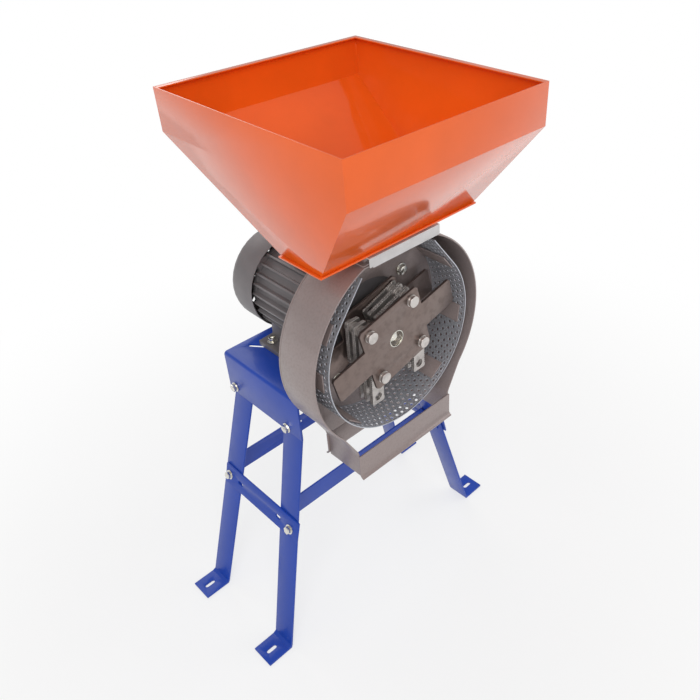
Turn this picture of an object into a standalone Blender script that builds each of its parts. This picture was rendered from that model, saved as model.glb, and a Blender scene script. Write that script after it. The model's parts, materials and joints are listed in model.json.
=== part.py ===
"""Hammer mill: hopper, slide gate, grinding chamber with swinging hammers, motor and stand.

Frame: metres, +Z up, ground at z = 0.  The motor axis runs along Y, the open front of the
grinding chamber faces -Y and the feed gate slides out towards -Y.  Lengths below are in mm
and y is first measured from the front edge of the chamber, then shifted by SHIFT_Y.
"""
import math

import bmesh
import bpy

for stale in list(bpy.data.objects):
    bpy.data.objects.remove(stale, do_unlink=True)

# ---------------------------------------------------------------- driving dimensions (mm)
GAP = 0.3                 # clearance left between neighbouring pieces
# stand
TABLE_Z = 652.0           # top face of the table
TABLE_W = 364.0           # along X
TABLE_Y0 = 120.0          # front edge of the table
TABLE_D = 252.0           # along Y
TABLE_T = 4.0             # sheet thickness
TABLE_DROP = 102.0        # depth of the folded ends
LEG_W = 60.0
LEG_T = 5.0
FOOT_X = 317.0            # foot bend from the middle
FOOT_L = 60.0
LEG_SPLAY_Y = 42.0
BRACE_W = 50.0
BRACE_T = 4.0
BRACE_Z = 325.0
# motor
MOTOR_H = 112.0           # shaft height
MOTOR_R = 104.0           # over the fins
MOTOR_CORE_R = 92.0
MOTOR_BORE_R = 82.0
MOTOR_L = 210.0
FLANGE_R = 145.0
FLANGE_BOLT_R = 127.0
COWL_R = 110.0
FOOT_HOLE_X = 95.0
FOOT_HOLE_Y = (170.0, 310.0)
SHAFT_R = 14.0
# grinding chamber
CASE_R = 220.0
CASE_T = 3.0
CASE_D = 96.0
TOP_HALF = 87.0           # half width of the flat top
NECK_HALF = 131.0
NECK_DROP = 269.0         # axis to the lower edge of the neck
SHOULDER_DEG = 40.0       # where the round shell turns into the neck
BACK_T = 4.0
BACK_HOLE_R = 100.0
STRIP_H = 57.0
SCREEN_R = 185.6
SCREEN_T = 2.0
SCREEN_ROWS = 3
SCREEN_HOLES = 21
# rotor
ROTOR_TURN = 14.0         # degrees, as it stands at rest
PIN_PCD_R = 80.7
PIN_R = 8.0
HAMMER_W = 33.0
HAMMER_T = 4.0
HAMMER_PITCH = 62.0       # between its two holes
HAMMER_TEETH = 6
SLOT = 9.0                # axial pitch of the hammer slots
PLATE_T = 6.0
PLATE_HALF = 79.0
ARM_R = 163.0
ARM_W = 60.0
HUB_R = 33.5
ROTOR_Y = 16.0            # front face of the front rotor plate
# feed
COLLAR_H = 22.0
GATE_T = 2.0
GATE_HALF = 87.0
HOPPER_W = 450.0
HOPPER_D = 472.0
HOPPER_FRONT = 132.0      # overhang ahead of the chamber
BAND_H = 76.0
FUNNEL_H = 165.0
BASE_W = 381.0
BASE_D = 110.0
SHEET = 2.0
INLET_X = 75.0
INLET_Y = (11.0, 87.0)

# ---------------------------------------------------------------- derived
AXIS_Z = TABLE_Z + MOTOR_H
FACE_Y = CASE_D + GAP + BACK_T + GAP            # motor flange face
TOP_Z = AXIS_Z + math.sqrt(CASE_R ** 2 - TOP_HALF ** 2)
FRAME_Y0 = FACE_Y + 34.0 + GAP
FRAME_Y1 = FRAME_Y0 + MOTOR_L
COWL_Y0 = FRAME_Y1 - 3.0
COWL_Y1 = FRAME_Y1 + 77.0
COLLAR_Z0 = TOP_Z + GAP
COLLAR_Z1 = COLLAR_Z0 + COLLAR_H
GATE_Z = COLLAR_Z1 + GAP
HOPPER_Z = GATE_Z + GATE_T + 3.4
BAND_Z = HOPPER_Z + 3.0 + FUNNEL_H
RIM_Z = BAND_Z + BAND_H
SHIFT_Y = -0.5 * (COWL_Y1 - HOPPER_FRONT)

PALETTE = {
    "orange": ((0.83, 0.10, 0.03), 0.0, 0.32),
    "blue": ((0.02, 0.06, 0.42), 0.0, 0.34),
    "case": ((0.23, 0.18, 0.17), 0.35, 0.42),
    "motor": ((0.13, 0.13, 0.14), 0.1, 0.5),
    "bronze": ((0.20, 0.13, 0.10), 0.6, 0.45),
    "galv": ((0.45, 0.46, 0.48), 0.9, 0.42),
    "steel": ((0.35, 0.34, 0.33), 0.95, 0.38),
    "zinc": ((0.62, 0.62, 0.60), 0.95, 0.25),
    "plastic": ((0.02, 0.02, 0.02), 0.0, 0.5),
    "core": ((0.30, 0.20, 0.14), 0.8, 0.5),
}


def empty(name, at, parent=None):
    """Parent empty at a point given in mm of the machine's own frame."""
    obj = bpy.data.objects.new(name, None)
    bpy.context.scene.collection.objects.link(obj)
    obj.empty_display_size = 0.05
    seat(obj, at, parent)
    return obj


def seat(obj, at, parent):
    """Place an object at a point of the machine, under its parent."""
    spot = [at[0] * 0.001, (at[1] + SHIFT_Y) * 0.001, at[2] * 0.001]
    if parent is not None:
        obj.parent = parent
        spot = [a - b for a, b in zip(spot, parent["spot"])]
    obj["spot"] = [at[0] * 0.001, (at[1] + SHIFT_Y) * 0.001, at[2] * 0.001]
    obj.location = spot


def finish(name, bm, paint, at=(0.0, 0.0, 0.0), parent=None):
    """Turn the working mesh (mm) into one named object in metres with its origin at the point given."""
    bmesh.ops.remove_doubles(bm, verts=bm.verts, dist=1e-4)
    bmesh.ops.recalc_face_normals(bm, faces=bm.faces)
    for vert in bm.verts:
        vert.co = [(vert.co[i] - at[i]) * 0.001 for i in range(3)]
    mesh = bpy.data.meshes.new(name)
    bm.to_mesh(mesh)
    bm.free()
    mesh.shade_smooth()
    mesh.set_sharp_from_angle(angle=math.radians(34.0))
    obj = bpy.data.objects.new(name, mesh)
    bpy.context.scene.collection.objects.link(obj)
    seat(obj, at, parent if parent is not None or name == "helper" else MILL)
    colour, metal, rough = PALETTE[paint]
    mat = bpy.data.materials.new("mat_" + name)
    mat.use_nodes = True
    bsdf = mat.node_tree.nodes["Principled BSDF"]
    bsdf.inputs["Base Color"].default_value = (*colour, 1.0)
    bsdf.inputs["Metallic"].default_value = metal
    bsdf.inputs["Roughness"].default_value = rough
    mesh.materials.append(mat)
    return obj


def prism(bm, loops, lift, put):
    """Fill the 2-D loops (outline, then holes) and sweep them; put(u, v, w) gives the point."""
    edges = []
    for loop in loops:
        ring = [bm.verts.new(put(u, v, 0.0)) for u, v in loop]
        edges += [bm.edges.new((ring[i], ring[(i + 1) % len(ring)])) for i in range(len(ring))]
    fill = bmesh.ops.triangle_fill(bm, edges=edges, use_beauty=True)["geom"]
    faces = [g for g in fill if isinstance(g, bmesh.types.BMFace)]
    swept = bmesh.ops.extrude_face_region(bm, geom=faces)["geom"]
    a, b = put(0.0, 0.0, 0.0), put(0.0, 0.0, lift)
    step = tuple(b[i] - a[i] for i in range(3))
    bmesh.ops.translate(bm, verts=[g for g in swept if isinstance(g, bmesh.types.BMVert)], vec=step)
    return bm


def slab_xz(loops, y0, y1, bm=None):
    return prism(bm or bmesh.new(), loops, y1 - y0, lambda u, v, w: (u, y0 + w, v))


def slab_yz(loops, x0, x1, bm=None):
    return prism(bm or bmesh.new(), loops, x1 - x0, lambda u, v, w: (x0 + w, u, v))


def slab_xy(loops, z0, z1, bm=None):
    return prism(bm or bmesh.new(), loops, z1 - z0, lambda u, v, w: (u, v, z0 + w))


def box(bm, x0, x1, y0, y1, z0, z1):
    return slab_xy([rect(x0, x1, y0, y1)], z0, z1, bm)


def rect(u0, u1, v0, v1):
    return [(u0, v0), (u1, v0), (u1, v1), (u0, v1)]


def ring(cu, cv, r, n, start=0.0):
    return [(cu + r * math.cos(start + 2 * math.pi * i / n), cv + r * math.sin(start + 2 * math.pi * i / n))
            for i in range(n)]


def lathe(profile, n, cx=0.0, cz=None, bm=None):
    """Closed (r, y) profile turned about an axis along Y."""
    bm = bm or bmesh.new()
    cz = AXIS_Z if cz is None else cz
    rows = []
    for r, y in profile:
        if r < 1e-6:
            rows.append([bm.verts.new((cx, y, cz))] * n)
        else:
            rows.append([bm.verts.new((cx + r * math.cos(2 * math.pi * i / n), y,
                                       cz + r * math.sin(2 * math.pi * i / n))) for i in range(n)])
    count = len(rows)
    for k in range(count):
        a, b = rows[k], rows[(k + 1) % count]
        for i in range(n):
            j = (i + 1) % n
            corners = []
            for v in (a[i], a[j], b[j], b[i]):
                if v not in corners:
                    corners.append(v)
            if len(corners) > 2:
                bm.faces.new(corners)
    return bm


def loft_rects(rings):
    """Closed skin through rectangular rings (x0, x1, y0, y1, z); the last joins the first."""
    bm = bmesh.new()
    rows = [[bm.verts.new(p) for p in ((x0, y0, z), (x1, y0, z), (x1, y1, z), (x0, y1, z))]
            for x0, x1, y0, y1, z in rings]
    for k, row in enumerate(rows):
        nxt = rows[(k + 1) % len(rows)]
        for i in range(4):
            j = (i + 1) % 4
            bm.faces.new((row[i], row[j], nxt[j], nxt[i]))
    return bm


def hexagon(cu, cv, flats):
    return ring(cu, cv, flats / math.sqrt(3.0), 6)


def boolean(target, tools, operation):
    for k, tool in enumerate(tools):
        tool.hide_render = True
        tool.display_type = "WIRE"
        mod = target.modifiers.new("cut%d" % k, "BOOLEAN")
        mod.operation = operation
        mod.solver = "EXACT"
        mod.object = tool
    bpy.context.view_layer.update()
    graph = bpy.context.evaluated_depsgraph_get()
    solid = bpy.data.meshes.new_from_object(target.evaluated_get(graph))
    target.modifiers.clear()
    target.data = solid
    for tool in tools:
        bpy.data.objects.remove(tool, do_unlink=True)
    return target


def helper(bm):
    return finish("helper", bm, "steel")


def spin_part(name, bm, paint):
    """A piece that turns with the motor: origin on the motor axis, parent the rotor empty."""
    return finish(name, bm, paint, (0.0, ROTOR_Y, AXIS_Z), ROTOR)


def mirror(points):
    return points + [(-u, v) for u, v in reversed(points)]


def rotate(points, degrees):
    c, s = math.cos(math.radians(degrees)), math.sin(math.radians(degrees))
    return [(u * c - v * s, u * s + v * c) for u, v in points]


def move(points, du, dv):
    return [(u + du, v + dv) for u, v in points]


MILL = empty("mill", (0.0, 0.0, 0.0))
ROTOR = empty("rotor", (0.0, ROTOR_Y, AXIS_Z), MILL)


# ---------------------------------------------------------------- stand
def table_profile():
    half, drop, t, bend = TABLE_W / 2, TABLE_Z - TABLE_DROP, TABLE_T, 8.0
    outer, inner = [(half, drop)], [(half - t, drop)]
    for k in range(6):
        a = math.radians(90.0 * k / 5)
        outer.append((half - bend + bend * math.cos(a), TABLE_Z - bend + bend * math.sin(a)))
        inner.append((half - bend + (bend - t) * math.cos(a), TABLE_Z - bend + (bend - t) * math.sin(a)))
    return mirror(outer) + list(reversed(mirror(inner)))


def leg_x(z):
    """Inner face of the right-hand leg at height z."""
    top = TABLE_W / 2 - TABLE_T - GAP - LEG_T
    bend = TABLE_Z - TABLE_DROP - 4.0
    foot = FOOT_X - LEG_T
    return top if z >= bend else top + (foot - top) * (bend - z) / bend


def leg(name, side, front):
    bend = TABLE_Z - TABLE_DROP - 4.0
    top_z = TABLE_Z - 22.0
    x0 = leg_x(bend)
    profile = [(x0, top_z), (x0, bend), (leg_x(LEG_T + 3.0), LEG_T + 3.0), (leg_x(0.0) + 1.5, 0.0),
               (FOOT_X + FOOT_L, 0.0), (FOOT_X + FOOT_L, LEG_T), (leg_x(0.0) + LEG_T + 5.0, LEG_T),
               (leg_x(LEG_T + 4.0) + LEG_T, LEG_T + 4.0), (x0 + LEG_T, bend), (x0 + LEG_T, top_z)]
    edge = TABLE_Y0 + 7.0 if front else TABLE_Y0 + TABLE_D - 10.0 - LEG_W
    lean = -LEG_SPLAY_Y if front else LEG_SPLAY_Y
    bm = bmesh.new()
    caps = []
    for dy in (0.0, LEG_W):
        caps.append([bm.verts.new((side * x, edge + dy + lean * max(0.0, bend - z) / bend, z)) for x, z in profile])
    n = len(profile)
    for i in range(n):
        j = (i + 1) % n
        bm.faces.new((caps[0][i], caps[0][j], caps[1][j], caps[1][i]))
    for cap in caps:
        loop = [bm.edges.get((cap[i], cap[(i + 1) % n])) for i in range(n)]
        bmesh.ops.triangle_fill(bm, edges=loop, use_beauty=True)
    obj = finish(name, bm, "blue")
    cx, cy = side * (FOOT_X + 0.55 * FOOT_L), edge + LEG_W / 2 + lean
    slot = [(cx + sx * 8.0 + 5.0 * math.cos(a), cy + 5.0 * math.sin(a)) for sx, a0 in ((1, -90), (-1, 90))
            for a in [math.radians(a0 + 30 * k) for k in range(7)]]
    return boolean(obj, [helper(slab_xy([slot], -5.0, LEG_T + 5.0))], "DIFFERENCE")


def end_brace(name, side):
    z0, z1 = BRACE_Z - BRACE_W / 2, BRACE_Z + BRACE_W / 2
    y0, y1 = TABLE_Y0 - 18.0, TABLE_Y0 + TABLE_D + 2.0
    face = [(side * (leg_x(z) + LEG_T + GAP + off), z) for z, off in
            ((z0, 0.0), (z1, 0.0), (z1, BRACE_T), (z0, BRACE_T))]
    return finish(name, slab_xz([face], y0, y1), "blue")


def long_brace(name, front):
    bend = TABLE_Z - TABLE_DROP - 4.0
    lean = LEG_SPLAY_Y * (bend - BRACE_Z) / bend
    if front:
        yb = TABLE_Y0 + 7.0 + LEG_W - lean + 2.0
    else:
        yb = TABLE_Y0 + TABLE_D - 10.0 + lean
    yt, t = yb - 0.82 * LEG_W, BRACE_T
    bm = bmesh.new()
    rows = []
    for z in (BRACE_Z - BRACE_W / 2, BRACE_Z + BRACE_W / 2):
        x = leg_x(z) - GAP
        loop = [(-x, yt), (-x, yb), (x, yb), (x, yt), (x - t, yt), (x - t, yb - t), (-x + t, yb - t), (-x + t, yt)]
        rows.append([bm.verts.new((u, v, z)) for u, v in loop])
    for i in range(8):
        j = (i + 1) % 8
        bm.faces.new((rows[0][i], rows[0][j], rows[1][j], rows[1][i]))
    for cap in rows:
        bmesh.ops.triangle_fill(bm, edges=[bm.edges.get((cap[i], cap[(i + 1) % 8])) for i in range(8)],
                                use_beauty=True)
    return finish(name, bm, "blue")


table = finish("stand_table", slab_xz([table_profile()], TABLE_Y0, TABLE_Y0 + TABLE_D), "blue")
holes = [helper(slab_xy([ring(sx * FOOT_HOLE_X, hy, 6.0, 16)], TABLE_Z - 12.0, TABLE_Z + 6.0))
         for sx in (-1, 1) for hy in FOOT_HOLE_Y]
boolean(table, holes, "DIFFERENCE")
for tag, side, front in (("front_left", -1, True), ("rear_left", -1, False),
                         ("front_right", 1, True), ("rear_right", 1, False)):
    leg("leg_" + tag, side, front)
end_brace("end_brace_left", -1)
end_brace("end_brace_right", 1)
long_brace("long_brace_front", True)
long_brace("long_brace_rear", False)


# ---------------------------------------------------------------- chamber
def case_half():
    """Right half of the chamber outline about the axis, flat top first, neck last."""
    pts = [(TOP_HALF, TOP_Z - AXIS_Z)]
    a0, a1 = math.degrees(math.acos(TOP_HALF / CASE_R)), -SHOULDER_DEG
    steps = 34
    for k in range(1, steps + 1):
        a = math.radians(a0 + (a1 - a0) * k / steps)
        pts.append((CASE_R * math.cos(a), CASE_R * math.sin(a)))
    return pts + [(NECK_HALF + 4.0, -NECK_DROP + 66.0), (NECK_HALF, -NECK_DROP + 48.0), (NECK_HALF, -NECK_DROP)]


def inset(points, d):
    """Offset an open run of points towards the axis side."""
    out = []
    for i, (u, v) in enumerate(points):
        a, b = points[max(0, i - 1)], points[min(len(points) - 1, i + 1)]
        length = math.hypot(b[0] - a[0], b[1] - a[1])
        nu, nv = (b[1] - a[1]) / length, -(b[0] - a[0]) / length
        out.append((u + nu * d, v + nv * d))
    return out


half = case_half()
inner_half = inset(half, CASE_T)
inner_half[0] = (TOP_HALF - CASE_T * 0.6, half[0][1] - CASE_T)
inner_half[-1] = (NECK_HALF - CASE_T, -NECK_DROP)
band = list(reversed([(-u, v) for u, v in half])) + half
band += list(reversed(inner_half)) + [(-u, v) for u, v in inner_half]
shell = finish("housing_shell", slab_xz([move(band, 0.0, AXIS_Z)], 0.0, CASE_D), "case")
boolean(shell, [helper(box(bmesh.new(), -INLET_X, INLET_X, INLET_Y[0], INLET_Y[1], TOP_Z - 12.0, TOP_Z + 6.0))],
        "DIFFERENCE")

STRIP_Z1 = AXIS_Z - NECK_DROP + STRIP_H
plate_half = [p for p in half if p[1] > -NECK_DROP + STRIP_H]
plate_half.append((NECK_HALF + 2.0, -NECK_DROP + STRIP_H))
outline = move(list(reversed([(-u, v) for u, v in plate_half])) + plate_half, 0.0, AXIS_Z)
bolt_at = [(FLANGE_BOLT_R * math.cos(math.radians(43 + 90 * k)),
            AXIS_Z + FLANGE_BOLT_R * math.sin(math.radians(43 + 90 * k))) for k in range(4)]
back_y0 = CASE_D + GAP
back = finish("housing_back_plate",
              slab_xz([outline, ring(0.0, AXIS_Z, BACK_HOLE_R, 40)] + [ring(u, v, 7.0, 16) for u, v in bolt_at],
                      back_y0, back_y0 + BACK_T), "case")
tab_w, tab_t, tab_y = 40.0, 3.0, 14.0
inner_face = math.sqrt((SCREEN_R - SCREEN_T / 2 - 0.6) ** 2 - (tab_w / 2) ** 2)
tabs = []
for angle, inside in ((37, True), (-9, True), (-52, True), (-132.5, True), (180, False), (150, False)):
    r1 = inner_face if inside else SCREEN_R + SCREEN_T / 2 + 0.5 + tab_t
    tabs.append(helper(slab_xz([move(rotate(rect(r1 - tab_t, r1, -tab_w / 2, tab_w / 2), angle), 0.0, AXIS_Z)],
                               tab_y, back_y0 + BACK_T / 2)))
boolean(back, tabs, "UNION")


def lip_strip(name, y_in, out, z1, width):
    """Plate closing the neck, its lower edge rolled outwards; out is -1 for front, +1 for rear."""
    z0, t, r = AXIS_Z - NECK_DROP, CASE_T, 9.0
    face = [(y_in, z1), (y_in, z0 + r)]
    roll_out, roll_in = [], []
    for k in range(6):
        a = math.radians(78.0 * k / 5)
        roll_in.append((y_in + out * (t + r - (t + r) * math.cos(a)), z0 + r - (t + r) * math.sin(a)))
        roll_out.append((y_in + out * (t + r - r * math.cos(a)), z0 + r - r * math.sin(a)))
    loop = face[:1] + roll_in + list(reversed(roll_out)) + [(y_in + out * t, z1)]
    return finish(name, slab_yz([loop], -width, width), "case")


lip_strip("discharge_front_strip", -GAP, -1, STRIP_Z1, NECK_HALF + 3.0)
lip_strip("discharge_rear_strip", CASE_D + GAP, 1, STRIP_Z1 - GAP, NECK_HALF + 3.0)


def screen_path():
    """Centre line of the screen with unit normals, from the upper left end round to the upper right."""
    end = (TOP_HALF + 5.0, TOP_Z - AXIS_Z - 18.0)
    reach = math.hypot(*end)
    a_end = math.atan2(end[1], end[0]) - math.acos(SCREEN_R / reach)
    straight = math.sqrt(reach ** 2 - SCREEN_R ** 2)
    arc = (math.pi + 2 * a_end) * SCREEN_R
    total = 2 * straight + arc
    cells = 2 * SCREEN_HOLES + 1
    out = []
    for k in range(cells + 1):
        s = total * k / cells
        if s < straight or s > total - straight:
            side = -1.0 if s < straight else 1.0
            d = straight - (s if s < straight else total - s)
            t = (math.cos(a_end), math.sin(a_end))
            u, v = SCREEN_R * t[0] - d * t[1], SCREEN_R * t[1] + d * t[0]
            out.append(((side * u, v), (side * t[0], t[1])))
        else:
            a = math.pi - a_end + (s - straight) / SCREEN_R
            out.append(((SCREEN_R * math.cos(a), SCREEN_R * math.sin(a)), (math.cos(a), math.sin(a))))
    return out


def screen():
    path = screen_path()
    rows = 2 * SCREEN_ROWS + 1
    y0, y1 = 1.0, CASE_D - 0.2
    bm = bmesh.new()
    grid = {}
    for i, ((u, v), (nu, nv)) in enumerate(path):
        for j in range(rows + 1):
            for k, off in enumerate((-SCREEN_T / 2, SCREEN_T / 2)):
                y = y0 + (y1 - y0) * j / rows
                grid[i, j, k] = bm.verts.new((u + nu * off, y, AXIS_Z + v + nv * off))
    cells = len(path) - 1
    solid = {(i, j) for i in range(cells) for j in range(rows) if not (i % 2 and j % 2)}
    for i, j in solid:
        corners = ((i, j), (i + 1, j), (i + 1, j + 1), (i, j + 1))
        for k in (0, 1):
            bm.faces.new([grid[a, b, k] for a, b in corners])
        for n, step in enumerate(((0, -1), (1, 0), (0, 1), (-1, 0))):
            if (i + step[0], j + step[1]) not in solid:
                p, q = corners[n], corners[(n + 1) % 4]
                bm.faces.new((grid[p[0], p[1], 0], grid[q[0], q[1], 0], grid[q[0], q[1], 1], grid[p[0], p[1], 1]))
    return finish("screen", bm, "galv")


screen()


def hex_bolt_y(name, u, v, y_seat, washer_r, flats, head, shank_r, y_end, paint="zinc"):
    """Bolt along +Y: hexagon head and washer ahead of y_seat, shank behind it."""
    obj = finish(name, lathe([(0.0, y_seat - 2.5), (washer_r, y_seat - 2.5), (washer_r, y_seat), (shank_r, y_seat),
                              (shank_r, y_end), (0.0, y_end)][:6], 24, u, v), paint)
    return boolean(obj, [helper(slab_xz([hexagon(u, v, flats)], y_seat - 2.5 - head, y_seat - 1.0))], "UNION")


for k, (u, v) in enumerate(bolt_at):
    hex_bolt_y("flange_bolt_%d" % (k + 1), u, v, CASE_D + GAP - GAP, 13.0, 18.0, 7.5, 6.0, FACE_Y + 22.0)

# ---------------------------------------------------------------- rotor
PLATE_Y1 = ROTOR_Y + PLATE_T
REAR_Y0 = PLATE_Y1 + 6 * SLOT
REAR_Y1 = REAR_Y0 + PLATE_T
SHAFT_END_Y = FACE_Y - 60.0
pins = [(PIN_PCD_R * math.cos(math.radians(ROTOR_TURN + 45 + 90 * k)),
         PIN_PCD_R * math.sin(math.radians(ROTOR_TURN + 45 + 90 * k))) for k in range(4)]


def rotor_outline():
    h, a, w = PLATE_HALF, ARM_R, ARM_W / 2
    c = 6.0
    quarter = [(h - c, -h), (h, -h + c), (h, -w), (a - 4, -w), (a, -w + 4), (a, w - 4), (a - 4, w), (h, w),
               (h, h - c), (h - c, h)]
    return rotate(quarter + [(-u, -v) for u, v in quarter], ROTOR_TURN)


plate_loops = [move(rotor_outline(), 0.0, AXIS_Z)] + [ring(u, AXIS_Z + v, PIN_R + 0.5, 20) for u, v in pins]
spin_part("rotor_front_plate", slab_xz(plate_loops + [ring(0, AXIS_Z, 18.5, 32)], ROTOR_Y, PLATE_Y1), "bronze")
spin_part("rotor_rear_plate", slab_xz(plate_loops + [ring(0, AXIS_Z, SHAFT_R + 0.6, 32)], REAR_Y0, REAR_Y1), "bronze")
bore, web0, web1 = SHAFT_R + 0.5, SHAFT_END_Y - 5.0, SHAFT_END_Y - GAP
spin_part("rotor_hub", lathe([(19.0, PLATE_Y1 + GAP), (HUB_R, PLATE_Y1 + GAP), (HUB_R, REAR_Y0 - GAP),
                           (bore, REAR_Y0 - GAP), (bore, web1), (6.8, web1), (6.8, web0), (19.0, web0)], 48), "steel")
centre = spin_part("rotor_centre_bolt", lathe([(0.0, web0 - 3.0 - GAP), (15.0, web0 - 3.0 - GAP), (15.0, web0 - GAP),
                                            (6.0, web0 - GAP), (6.0, SHAFT_END_Y + 24.0),
                                            (0.0, SHAFT_END_Y + 24.0)], 24), "zinc")
boolean(centre, [helper(slab_xz([hexagon(0.0, AXIS_Z, 18.0)], web0 - 11.0, web0 - 1.0))], "UNION")

for k, (u, v) in enumerate(pins):
    first = 0 if k % 2 else 1
    mids = [PLATE_Y1 + SLOT * (first + 2 * m) + SLOT / 2 for m in range(3)]
    head_y = ROTOR_Y - 10.0
    prof = [(0.0, head_y), (10.0, head_y), (14.0, head_y + 2.5), (14.0, head_y + 6.0), (11.5, head_y + 7.0),
            (11.5, ROTOR_Y - GAP), (PIN_R, ROTOR_Y - GAP), (PIN_R, PLATE_Y1 + GAP)]
    edge = PLATE_Y1 + GAP
    for mid in mids + [REAR_Y0 + HAMMER_T / 2 + 0.4]:
        stop = mid - HAMMER_T / 2 - 0.7
        if stop - edge > 3.0:
            prof += [(12.0, edge), (12.0, stop), (PIN_R, stop)]
        edge = mid + HAMMER_T / 2 + 0.7
        if mid < REAR_Y0:
            prof.append((PIN_R, edge))
    prof += [(PIN_R, REAR_Y1 + 3.0), (PIN_R - 1.5, REAR_Y1 + 4.5), (0.0, REAR_Y1 + 4.5)]
    clean = [prof[0]]
    for p in prof[1:]:
        if math.hypot(p[0] - clean[-1][0], p[1] - clean[-1][1]) > 1e-6:
            clean.append(p)
    finish("hammer_pin_%d" % (k + 1), lathe(clean, 12, u, AXIS_Z + v), "steel", (u, ROTOR_Y, AXIS_Z + v), ROTOR)


def hammer_outline():
    """Toothed bar with its pin hole at the origin, hanging along -Z."""
    w, root = HAMMER_W / 2, HAMMER_W / 2 - 2.0
    lo, hi = -HAMMER_PITCH - 16.0, 16.0
    top, bottom = hi - 9.0, lo + 9.0
    step = (bottom - top) / (2 * HAMMER_TEETH)
    side = [(w - 5.0, hi), (w, hi - 5.0)]
    side += [(root if k % 2 else w, top + step * k) for k in range(2 * HAMMER_TEETH + 1)]
    side += [(w, lo + 5.0), (w - 5.0, lo)]
    return list(reversed([(-u, v) for u, v in side])) + side


lean = math.degrees(math.asin((HUB_R + HAMMER_W / 2 + 0.6) / PIN_PCD_R))
hammer_loops = [hammer_outline(), ring(0, 0, PIN_R + 1.0, 16), ring(0, -HAMMER_PITCH, PIN_R + 1.0, 12)]
for k, (u, v) in enumerate(pins):
    hang = 0.0 if k else ROTOR_TURN + 45.0 - 90.0 - lean
    first = 0 if k % 2 else 1
    for m in range(3):
        mid = PLATE_Y1 + SLOT * (first + 2 * m) + SLOT / 2
        hammer = finish("hammer_%d_%d" % (k + 1, m + 1), slab_xz(hammer_loops, -HAMMER_T / 2, HAMMER_T / 2), "steel",
                        (0.0, 0.0, 0.0), ROTOR)
        seat(hammer, (u, mid, AXIS_Z + v), ROTOR)
        hammer.rotation_euler = (0.0, -math.radians(hang), 0.0)

# ---------------------------------------------------------------- motor
F = FACE_Y
front_shield = finish("motor_front_shield", lathe(
    [(21.0, F + 8.0), (50.0, F + 8.0), (70.0, F + 3.0), (BACK_HOLE_R - 2.0, F + 3.0), (BACK_HOLE_R + 4.0, F),
     (FLANGE_R, F), (FLANGE_R, F + 13.0), (MOTOR_R - 2.0, F + 15.0), (MOTOR_CORE_R + 4.0, F + 34.0),
     (MOTOR_BORE_R + 2.0, F + 34.0), (MOTOR_BORE_R + 2.0, F + 20.0), (40.0, F + 18.0), (40.0, F + 30.0),
     (31.4, F + 30.0), (31.4, F + 13.7), (21.0, F + 13.7)], 36), "motor")
boolean(front_shield, [helper(slab_xz([ring(u, v, 6.6, 16)], F - 4.0, F + 30.0)) for u, v in bolt_at], "DIFFERENCE")


def barrel():
    """Cross-section of the finned barrel, fins standing out of a round core."""
    pts = []
    per = 28
    for k in range(per):
        a = 2 * math.pi * k / per + math.pi / per
        half_tip, half_root = 0.022, 0.032
        tall = MOTOR_R if 0.35 < abs(math.sin(a / 2)) else MOTOR_R - 1.0
        for r, off in ((MOTOR_CORE_R, -half_root), (tall, -half_tip), (tall, half_tip), (MOTOR_CORE_R, half_root)):
            pts.append((r * math.cos(a + off), AXIS_Z + r * math.sin(a + off)))
    return pts


frame_obj = finish("motor_frame", slab_xz([barrel(), ring(0, AXIS_Z, MOTOR_BORE_R, 40)], FRAME_Y0, FRAME_Y1), "motor")
foot_tools, foot_z, foot_y0, foot_y1 = [], TABLE_Z + GAP, FOOT_HOLE_Y[0] - 24.0, FOOT_HOLE_Y[1] + 26.0
foot_loop = [(FOOT_HOLE_X + 18.0, foot_z), (FOOT_HOLE_X + 18.0, foot_z + 11.0), (FOOT_HOLE_X - 19.0, foot_z + 13.0),
             (MOTOR_CORE_R * 0.8, AXIS_Z - MOTOR_CORE_R * 0.5), (MOTOR_CORE_R * 0.66, AXIS_Z - MOTOR_CORE_R * 0.7),
             (FOOT_HOLE_X - 30.0, foot_z + 9.0), (FOOT_HOLE_X - 48.0, foot_z + 8.0), (FOOT_HOLE_X - 48.0, foot_z)]
for sx in (-1, 1):
    loop = [(sx * u, v) for u, v in foot_loop]
    foot_tools.append(helper(slab_xz([loop], foot_y0, foot_y1)))
boolean(frame_obj, foot_tools, "UNION")
pad = helper(slab_xz([rect(-30.0, 30.0, AXIS_Z + MOTOR_CORE_R - 4.0, AXIS_Z + MOTOR_R + 6.0)],
                      FRAME_Y0 + 60.0, FRAME_Y0 + 150.0))
boolean(frame_obj, [pad], "UNION")
boolean(frame_obj, [helper(slab_xy([ring(sx * FOOT_HOLE_X, hy, 6.0, 16)], foot_z - 5.0, foot_z + 16.0))
                    for sx in (-1, 1) for hy in FOOT_HOLE_Y], "DIFFERENCE")

for k, (sx, hy) in enumerate([(sx, hy) for sx in (-1, 1) for hy in FOOT_HOLE_Y]):
    x, z = sx * FOOT_HOLE_X, foot_z + 13.0
    bm = bmesh.new()
    slab_xy([ring(x, hy, 11.5, 20)], z + 0.3, z + 2.8, bm)
    obj = finish("foot_bolt_%d" % (k + 1), bm, "zinc")
    parts = [helper(slab_xy([hexagon(x, hy, 17.0)], z + 2.0, z + 9.5)),
             helper(slab_xy([ring(x, hy, 5.0, 16)], TABLE_Z - TABLE_T - 16.0, z + 3.0)),
             helper(slab_xy([hexagon(x, hy, 17.0)], TABLE_Z - TABLE_T - 10.0, TABLE_Z - TABLE_T - GAP))]
    boolean(obj, parts, "UNION")

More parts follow.
